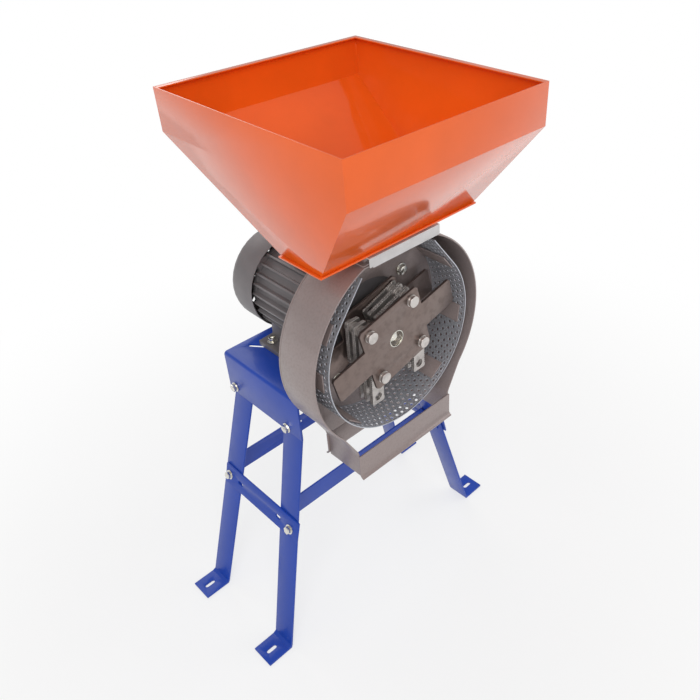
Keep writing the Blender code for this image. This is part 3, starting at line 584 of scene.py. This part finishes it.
class MILL_OT_screen(bpy.types.Operator):
    """Perforated screen: one hole and its surround, repeated in staggered rows and wrapped round the chamber"""
    bl_idname = "mill.screen"
    bl_label = "Screen"

    def execute(self, context):
        sizes = context.scene.mill_sizes
        low, high = (Vector(v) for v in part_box("screen"))
        radius = (high.x - low.x) / 2 - 0.001
        top = high.z - AXIS_Z
        end = Vector((0.092, top))
        rise = math.atan2(end.y, end.x) - math.acos(radius / end.length)
        straight = math.sqrt(end.length ** 2 - radius ** 2)
        total = 2 * straight + (math.pi + 2 * rise) * radius
        depth = high.y - low.y
        pitch = total / round(total / sizes.hole_pitch)
        rows = 7
        row = (depth - 0.006) / rows
        bpy.ops.object.select_all(action="DESELECT")
        bpy.ops.mesh.primitive_circle_add(vertices=8, radius=sizes.hole_radius, location=(0, 0, 0))
        tile = context.object
        edit(tile)
        bpy.ops.mesh.extrude_region_move()
        bpy.ops.transform.resize(value=(2.0, 2.0, 1.0))
        done()
        for vertex in tile.data.vertices:
            if vertex.co.length > sizes.hole_radius * 1.5:
                reach = max(abs(vertex.co.x) / (pitch / 2), abs(vertex.co.y) / (row / 2))
                vertex.co /= reach
        count = round(total / pitch)
        modify(tile, "ARRAY", count=count, use_relative_offset=False, use_constant_offset=True,
               constant_offset_displace=(pitch, 0, 0), use_merge_vertices=True, merge_threshold=0.00001)
        strips = [duplicate(tile, Matrix.Translation((pitch / 2 * (1 + (k % 2)), row * (k + 0.5) + 0.003, 0)), "strip")
                  for k in range(rows)]
        bpy.data.objects.remove(tile, do_unlink=True)
        screen = strips[0]
        for k, strip in enumerate(strips):
            if k % 2:
                edit(strip)
                pick(strip, lambda centre, normal: centre.x > total)
                bpy.ops.mesh.delete(type="FACE")
                done()
        joined(strips, "screen_sheet")
        fillers = []
        for k in range(rows):
            if k % 2:
                for x0 in (0.0, total - pitch / 2):
                    fillers.append((x0, pitch / 2, row * k + 0.003, row))
        cells = [(x * pitch / 2, pitch / 2, y0, 0.003) for x in range(2 * count) for y0 in (0.0, depth - 0.003)]
        mesh = bmesh.new()
        mesh.from_mesh(screen.data)
        for x0, width, y0, height in cells + fillers:
            mesh.faces.new([mesh.verts.new(v) for v in ((x0, y0, 0), (x0 + width, y0, 0),
                                                         (x0 + width, y0 + height, 0), (x0, y0 + height, 0))])
        bmesh.ops.remove_doubles(mesh, verts=mesh.verts, dist=0.00002)
        bmesh.ops.recalc_face_normals(mesh, faces=mesh.faces)
        mesh.to_mesh(screen.data)
        mesh.free()
        for vertex in screen.data.vertices:
            s = min(max(vertex.co.x, 0.0), total)
            y = low.y + vertex.co.y
            if s < straight or s > total - straight:
                side = -1.0 if s < straight else 1.0
                away = straight - (s if s < straight else total - s)
                u = radius * math.cos(rise) - away * math.sin(rise)
                v = radius * math.sin(rise) + away * math.cos(rise)
                u *= side
            else:
                angle = math.pi - rise + (s - straight) / radius
                u, v = radius * math.cos(angle), radius * math.sin(angle)
            vertex.co = (u, y, AXIS_Z + v)
        edit(screen)
        bpy.ops.mesh.normals_make_consistent(inside=False)
        done()
        modify(screen, "SOLIDIFY", thickness=0.0019, offset=0.0)
        smooth(screen, 25.0)
        claim(screen, "mill", "screen_steel", "screen")
        return {"FINISHED"}


# ------------------------------------------------------------------ rotor and hammers
class MILL_OT_rotor(bpy.types.Operator):
    """Finish the rotor plates, hub, pins and centre bolt"""
    bl_idname = "mill.rotor"
    bl_label = "Rotor"

    def centre_bolt(self, node):
        """Flanged hexagon bolt that holds the rotor on the shaft, with a turned ring round its recess."""
        low, high = (Vector(v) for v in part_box(node))
        model = hex_bolt(0.0185, 0.009, 0.0148, 0.003)
        bolt = duplicate(model, turned_to((0, low.y + 0.0122, AXIS_Z), (0, -1, 0), 0.35), node + "_head")
        bpy.data.objects.remove(model, do_unlink=True)
        shank = rod(0.0058, high.y - low.y - 0.013, (0, (high.y + low.y + 0.013) / 2, AXIS_Z), (0, 1, 0), 32)
        round_edges(shank, 0.001, 2)
        smooth(shank)
        claim(joined([bolt, shank], node + "_head"), "rotor", "zinc_plate", node)
        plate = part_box("rotor_front_plate")
        ring = rod(0.0184, 0.0052, (0, plate[1][1] - 0.0028, AXIS_Z), (0, 1, 0), 56)
        carve(ring, [rod(0.0164, 0.02, (0, plate[1][1], AXIS_Z), (0, 1, 0), 56)])
        round_edges(ring, 0.0006, 2)
        smooth(ring)
        ring.name = "recess_ring"
        claim(ring, "rotor", "zinc_plate")

    def pin(self, node):
        """Hammer pin with a domed head on a short neck, and spacer rings between its pairs of hammers."""
        low, high = (Vector(v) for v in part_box(node))
        centre = (low + high) / 2
        number = int(node[-1])
        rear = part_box("rotor_rear_plate")[0][1]
        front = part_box("rotor_front_plate")
        stem = rod(0.008, high.y - low.y - 0.004, (centre.x, (low.y + high.y) / 2 + 0.002, centre.z), (0, 1, 0), 40)
        round_edges(stem, 0.0012, 2)
        neck = rod(0.0098, front[0][1] - low.y - 0.0055, (centre.x, (front[0][1] + low.y + 0.0051) / 2, centre.z),
                   (0, 1, 0), 40)
        head = rod(0.012, 0.006, (centre.x, low.y + 0.0031, centre.z), (0, 1, 0), 48)
        edit(head)
        pick(head, lambda spot, normal: normal.y < -0.9)
        bpy.ops.mesh.inset(thickness=0.0022, depth=0.0)
        done()
        round_edges(head, 0.0012, 3, 40.0)
        parts = [stem, neck, head]
        edge = front[1][1] + 0.0003
        for place_y in [mid("hammer_%d_%d" % (number, m + 1)).y for m in range(3)] + [rear + 0.0022]:
            stop = place_y - 0.0025
            if stop - edge > 0.0025:
                ring = rod(0.012, stop - edge, (centre.x, (stop + edge) / 2, centre.z), (0, 1, 0), 36)
                round_edges(ring, 0.0005, 2)
                parts.append(ring)
            edge = place_y + (0.007 if number % 2 == 0 or place_y < mid("hammer_%d_2" % number).y + 0.001 else 0.0025)
        joined(parts, node + "_turned")
        smooth(stem, 40.0)
        claim(stem, "rotor", "turned_steel", node)

    def execute(self, context):
        for node in NODES:
            if BODY_OF[node] != "rotor":
                continue
            if node.startswith("hammer_pin"):
                self.pin(node)
            elif node in ("rotor_front_plate", "rotor_rear_plate"):
                refine(node, 0.0009, 2)
            elif node == "rotor_centre_bolt":
                self.centre_bolt(node)
            else:
                refine(node, 0.0006, 2)
        face_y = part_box("rotor_front_plate")[0][1]
        keepers = []
        for k in range(4):
            angle = ROTOR_TURN + math.radians(45 + 90 * k)
            spot = Vector((PIN_RADIUS * math.cos(angle), face_y, AXIS_Z + PIN_RADIUS * math.sin(angle)))
            ring = rod(0.0125, 0.0012, spot - Vector((0, 0.0008, 0)), (0, 1, 0), 36)
            bore = rod(0.0083, 0.01, spot, (0, 1, 0), 24)
            carve(ring, [bore])
            round_edges(ring, 0.0003, 2)
            smooth(ring)
            keepers.append(ring)
        claim(joined(keepers, "pin_washers"), "rotor", "turned_steel")
        return {"FINISHED"}


class MILL_OT_hammers(bpy.types.Operator):
    """Swinging hammers: toothed bars hung on the four pins, in pairs on each slot"""
    bl_idname = "mill.hammers"
    bl_label = "Hammers"

    def blank(self, context):
        """One hammer with its pin hole at the origin, hanging along -Z."""
        sizes = context.scene.mill_sizes
        bpy.ops.object.select_all(action="DESELECT")
        bpy.ops.mesh.primitive_cube_add(size=1.0, location=(0, 0, -0.031), scale=(0.033, 0.004, 0.094))
        bar = context.object
        place(bar)
        edit(bar)
        bpy.ops.mesh.select_mode(type="EDGE")
        bpy.ops.mesh.select_all(action="DESELECT")
        done()
        for edge in bar.data.edges:
            a, b = (bar.data.vertices[i].co for i in edge.vertices)
            edge.select = abs(a.y - b.y) > 0.003
        bpy.ops.object.mode_set(mode="EDIT")
        bpy.ops.mesh.bevel(offset=0.004, segments=2, affect="EDGES")
        done()
        step = 0.076 / sizes.hammer_teeth
        teeth = []
        for side in (-1, 1):
            for k in range(sizes.hammer_teeth):
                teeth.append((side, 0.007 - step * (k + 0.5)))
        cutter = rod(step * 0.48, 0.01, (0, 0, 0), (0, 1, 0), 4)
        cuts = [duplicate(cutter, Matrix.Translation((side * 0.0168, 0, z)), "tooth") for side, z in teeth]
        bpy.data.objects.remove(cutter, do_unlink=True)
        joined(cuts, "teeth")
        holes = [rod(0.009, 0.01, (0, 0, z), (0, 1, 0), 28) for z in (0.0, -0.062)]
        carve(bar, [cuts[0]] + holes)
        round_edges(bar, 0.00035, 1, 40.0)
        smooth(bar, 30.0)
        return bar

    def execute(self, context):
        blank = self.blank(context)
        for k in range(4):
            angle = ROTOR_TURN + math.radians(45 + 90 * k)
            pin = Vector((PIN_RADIUS * math.cos(angle), 0, AXIS_Z + PIN_RADIUS * math.sin(angle)))
            lean = math.asin((0.0335 + 0.0165 + 0.0006) / PIN_RADIUS)
            hang = 0.0 if k else ROTOR_TURN + math.radians(45.0 - 90.0) - lean
            for m in range(3):
                node = "hammer_%d_%d" % (k + 1, m + 1)
                y = mid(node).y
                turn = Matrix.Rotation(-hang, 4, "Y")
                twin = duplicate(blank, Matrix.Translation((pin.x, y, pin.z)) @ turn, node + "_bar")
                claim(twin, BODY_OF[node], "hammer_steel", node)
                if k % 2 or m < 2:
                    extra = duplicate(blank, Matrix.Translation((pin.x, y + 0.0045, pin.z)) @ turn, node + "_partner")
                    claim(extra, BODY_OF[node], "hammer_steel")
        bpy.data.objects.remove(blank, do_unlink=True)
        return {"FINISHED"}


# ------------------------------------------------------------------ motor
class MILL_OT_motor(bpy.types.Operator):
    """Finish the motor: frame, shields, fan cover, terminal box and their fasteners"""
    bl_idname = "mill.motor"
    bl_label = "Motor"

    def execute(self, context):
        for node in NODES:
            if SLOT_OF[node] == "motor_paint":
                refine(node, context.scene.mill_sizes.edge_radius, 2, 30.0)
            elif SLOT_OF[node] == "core_steel" or node.startswith("bearing"):
                refine(node, 0.0005, 1, 35.0)
        low, high = (Vector(v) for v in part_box("terminal_lid"))
        screws = []
        for x in (low.x + 0.008, high.x - 0.008):
            for y in (low.y + 0.008, high.y - 0.008):
                screw = rod(0.0042, 0.0034, (x, y, high.z + 0.0006), (0, 0, 1), 28)
                edit(screw)
                pick(screw, lambda centre, normal: normal.z > 0.9)
                bpy.ops.mesh.inset(thickness=0.0018, depth=0.0)
                bpy.ops.mesh.inset(thickness=0.0003, depth=-0.0012)
                done()
                round_edges(screw, 0.0003, 2)
                smooth(screw)
                screws.append(screw)
        claim(joined(screws, "terminal_lid_screws"), "mill", "zinc_plate")
        low, high = (Vector(v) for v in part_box("terminal_box"))
        gland = rod(0.0125, 0.007, (high.x + 0.0032, (low.y + high.y) / 2, low.z + 0.020), (1, 0, 0), 6)
        round_edges(gland, 0.0009, 2)
        neck = rod(0.0098, 0.016, (high.x + 0.0075, (low.y + high.y) / 2, low.z + 0.020), (1, 0, 0), 40)
        edit(neck)
        pick(neck, lambda centre, normal: normal.x > 0.9)
        bpy.ops.mesh.inset(thickness=0.0028, depth=0.0)
        bpy.ops.mesh.inset(thickness=0.0004, depth=-0.004)
        done()
        round_edges(neck, 0.0006, 2)
        smooth(gland)
        smooth(neck)
        claim(joined([gland, neck], "cable_gland"), "mill", "fan_plastic")
        return {"FINISHED"}


# ------------------------------------------------------------------ stand
class MILL_OT_stand(bpy.types.Operator):
    """Finish the stand: folded table with its tensioning slot, legs and braces"""
    bl_idname = "mill.stand"
    bl_label = "Stand"

    def spare_holes(self, node):
        """Cutters for the unused holes beside the brace bolts and in the middle of the rear brace."""
        if node == "long_brace_rear":
            back_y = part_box(node)[1][1]
            return [rod(0.0052, 0.03, (-0.011, back_y, 0.330), (0, 1, 0), 28)]
        if node.startswith("end_brace"):
            side = -1 if node.endswith("left") else 1
            x = mid(node).x
            return [slot_cutter(deep(x, y, 0.325), (0, 1, 0), 0.009, 0.018, 0.06, (side, 0, 0)) for y in (0.316, 0.172)]
        return []

    def execute(self, context):
        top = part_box("stand_table")[1][2]
        slot_from, slot_to = deep(-0.131, 0.352, top), deep(-0.108, 0.321, top)
        along = slot_to - slot_from
        tool = slot_cutter((slot_from + slot_to) / 2, along, 0.009, along.length, 0.03, (0, 0, 1))
        refine("stand_table", context.scene.mill_sizes.fold_radius, 3, 25.0, tools=[tool])
        for node in NODES:
            if SLOT_OF[node] == "stand_paint" and node != "stand_table":
                refine(node, 0.0008, 2, 28.0, tools=self.spare_holes(node))
        return {"FINISHED"}


class MILL_OT_stand_bolts(bpy.types.Operator):
    """Bolts with washers through the table ends, the legs and the braces, and their nuts inside"""
    bl_idname = "mill.stand_bolts"
    bl_label = "Stand bolts"

    def execute(self, context):
        sizes = context.scene.mill_sizes
        model = hex_bolt(sizes.bolt_flats, 0.0072, sizes.bolt_flats * 0.72)
        spots = []
        for side, name in ((-1, "left"), (1, "right")):
            spots += [("stand_table", side, 0.350, 0.566), ("stand_table", side, 0.167, 0.559),
                      ("end_brace_" + name, side, 0.358, 0.326), ("end_brace_" + name, side, 0.130, 0.320)]
        made = []
        for index, (node, side, y, z) in enumerate(spots):
            spot, normal = surface(node, deep(side * 0.6, y, z), (-side, 0, 0))
            if spot is None:
                raise RuntimeError("no surface for a bolt on " + node)
            made.append(duplicate(model, turned_to(spot, normal, 0.3 * index), "bolt"))
            inner = "leg_%s_%s" % ("rear" if y > 0.24 else "front", "left" if side < 0 else "right")
            spot, normal = surface(inner, deep(0.0, y, z), (side, 0, 0))
            if spot is not None:
                made.append(duplicate(model, turned_to(spot, normal, 0.5 * index), "nut"))
        bpy.data.objects.remove(model, do_unlink=True)
        claim(joined(made, "stand_bolts"), "mill", "zinc_plate")
        return {"FINISHED"}


class MILL_OT_fasteners(bpy.types.Operator):
    """Finish the flange bolts and foot bolts and everything not yet dressed"""
    bl_idname = "mill.fasteners"
    bl_label = "Fasteners and fan"

    def socket_bolt(self, node):
        """Socket-head bolt with a rounded rim, a hexagon recess and a wide washer on the motor foot."""
        low, high = (Vector(v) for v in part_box(node))
        x, y = (low.x + high.x) / 2, (low.y + high.y) / 2
        seat = max(v.co.z for v in NODES["motor_frame"].data.vertices
                   if (v.co.x - x) ** 2 + (v.co.y - y) ** 2 < 0.0002 and v.co.z < high.z)
        washer = rod(0.0118, 0.002, (x, y, seat + 0.0013), (0, 0, 1), 44)
        round_edges(washer, 0.0004, 2)
        head = rod(0.0085, 0.0082, (x, y, seat + 0.0066), (0, 0, 1), 44)
        round_edges(head, 0.0009, 3)
        carve(head, [rod(0.0048, 0.0096, (x, y, seat + 0.0112), (0, 0, 1), 6)])
        shank = rod(0.0049, seat - low.z, (x, y, (seat + low.z) / 2), (0, 0, 1), 24)
        round_edges(shank, 0.0008, 2)
        joined([head, washer, shank], node + "_socket")
        smooth(head)
        claim(head, "mill", "zinc_plate", node)

    def execute(self, context):
        for node in NODES:
            if node.startswith("foot_bolt"):
                self.socket_bolt(node)
            elif node.startswith("flange_bolt"):
                refine(node, 0.0004, 2, 30.0)
        for node, obj in NODES.items():
            obj.data.materials.clear()
            obj.data.materials.append(finish_for(SLOT_OF[node]))
        return {"FINISHED"}


# ------------------------------------------------------------------ stage
class MILL_OT_stage(bpy.types.Operator):
    """Pale floor, soft lamps, white surroundings and the camera"""
    bl_idname = "mill.stage"
    bl_label = "Stage"

    def execute(self, context):
        bpy.ops.object.select_all(action="DESELECT")
        bpy.ops.mesh.primitive_plane_add(size=60.0, location=(0, 0, -0.0005))
        floor = context.object
        floor.name = "floor"
        s = Shader("floor_pale")
        grain = s.noise(3.0, 2.0)
        s.set(Base_Color=s.mix(grain, (0.86, 0.86, 0.86), (0.90, 0.90, 0.90)), Roughness=0.75)
        path = s.tree.nodes.new("ShaderNodeLightPath").outputs
        seen = s.node("ShaderNodeMath", {"operation": "MAXIMUM"}, Wire(s, path["Is Camera Ray"]),
                      Wire(s, path["Is Glossy Ray"]))
        reach = s.node("ShaderNodeVectorMath", {"operation": "LENGTH"}, Wire(s, s.at), output="Value")
        glow = s.node("ShaderNodeEmission", None, (1, 1, 1, 1), 1.0)
        both = s.node("ShaderNodeMixShader", None, seen * (reach.clamp(0.5, 1.8) * 0.35 + 0.65),
                      Wire(s, s.bsdf.outputs[0]), glow)
        s.join(both, s.tree.nodes["Material Output"].inputs["Surface"])
        floor.data.materials.append(s.material)
        world = bpy.data.worlds.new("surroundings")
        context.scene.world = world
        world.use_nodes = True
        tree = world.node_tree
        tree.nodes.clear()
        path = tree.nodes.new("ShaderNodeLightPath")
        seen = tree.nodes.new("ShaderNodeBackground")
        seen.inputs["Color"].default_value = (1, 1, 1, 1)
        seen.inputs["Strength"].default_value = 1.0
        fill = tree.nodes.new("ShaderNodeBackground")
        fill.inputs["Color"].default_value = (1, 1, 1, 1)
        fill.inputs["Strength"].default_value = 0.5
        either = tree.nodes.new("ShaderNodeMath")
        either.operation = "MAXIMUM"
        tree.links.new(path.outputs["Is Camera Ray"], either.inputs[0])
        tree.links.new(path.outputs["Is Transmission Ray"], either.inputs[1])
        blend = tree.nodes.new("ShaderNodeMixShader")
        out = tree.nodes.new("ShaderNodeOutputWorld")
        tree.links.new(either.outputs[0], blend.inputs[0])
        tree.links.new(fill.outputs[0], blend.inputs[1])
        tree.links.new(seen.outputs[0], blend.inputs[2])
        tree.links.new(blend.outputs[0], out.inputs["Surface"])
        for name, spot, size, power in (("key", (-2.2, -2.4, 3.4), 2.4, 76.0), ("side", (2.8, -1.6, 2.2), 2.0, 20.0),
                                        ("back", (0.4, 3.0, 2.8), 2.4, 28.0)):
            lamp = bpy.data.lights.new(name, "AREA")
            lamp.size, lamp.energy = size, power
            holder = bpy.data.objects.new(name, lamp)
            context.scene.collection.objects.link(holder)
            holder.location = spot
            holder.rotation_euler = (Vector((0, 0, 0.7)) - Vector(spot)).to_track_quat("-Z", "Y").to_euler()
        camera = bpy.data.cameras.new("camera")
        camera.lens, camera.sensor_width = 37.28, 36.0
        camera.shift_x, camera.shift_y = -0.0956, -0.0329
        holder = bpy.data.objects.new("camera", camera)
        context.scene.collection.objects.link(holder)
        azimuth, elevation, roll = (math.radians(v) for v in (-45.5, 35.0, -1.1))
        forward = Vector((-math.sin(azimuth) * math.cos(elevation), math.cos(azimuth) * math.cos(elevation),
                          -math.sin(elevation)))
        turn = forward.to_track_quat("-Z", "Y").to_matrix().to_4x4()
        holder.matrix_world = Matrix.Translation((-0.7881, -0.9578, 1.5917)) @ turn @ Matrix.Rotation(roll, 4, "Z")
        context.scene.camera = holder
        context.scene.view_settings.view_transform = "Standard"
        return {"FINISHED"}


class MILL_PT_panel(bpy.types.Panel):
    """Sizes, colours and steps of the hammer mill"""
    bl_label = "Hammer mill"
    bl_space_type = "VIEW_3D"
    bl_region_type = "UI"
    bl_category = "Mill"

    def draw(self, context):
        for group in (context.scene.mill_sizes, context.scene.mill_colours):
            box = self.layout.box()
            for name in group.__annotations__:
                box.prop(group, name)
        for step in STEPS:
            self.layout.operator(step.bl_idname)


STEPS = (MILL_OT_stage, MILL_OT_hopper, MILL_OT_gate, MILL_OT_housing, MILL_OT_screen, MILL_OT_rotor,
         MILL_OT_hammers, MILL_OT_motor, MILL_OT_stand, MILL_OT_stand_bolts, MILL_OT_fasteners)
CLASSES = (MillSizes, MillColours) + STEPS + (MILL_PT_panel,)


def register():
    for each in CLASSES:
        bpy.utils.register_class(each)
    bpy.types.Scene.mill_sizes = PointerProperty(type=MillSizes)
    bpy.types.Scene.mill_colours = PointerProperty(type=MillColours)


def unregister():
    del bpy.types.Scene.mill_sizes
    del bpy.types.Scene.mill_colours
    for each in reversed(CLASSES):
        bpy.utils.unregister_class(each)


def main():
    register()
    for step in STEPS:
        group, name = step.bl_idname.split(".")
        getattr(getattr(bpy.ops, group), name)()


if __name__ == "__main__":
    main()
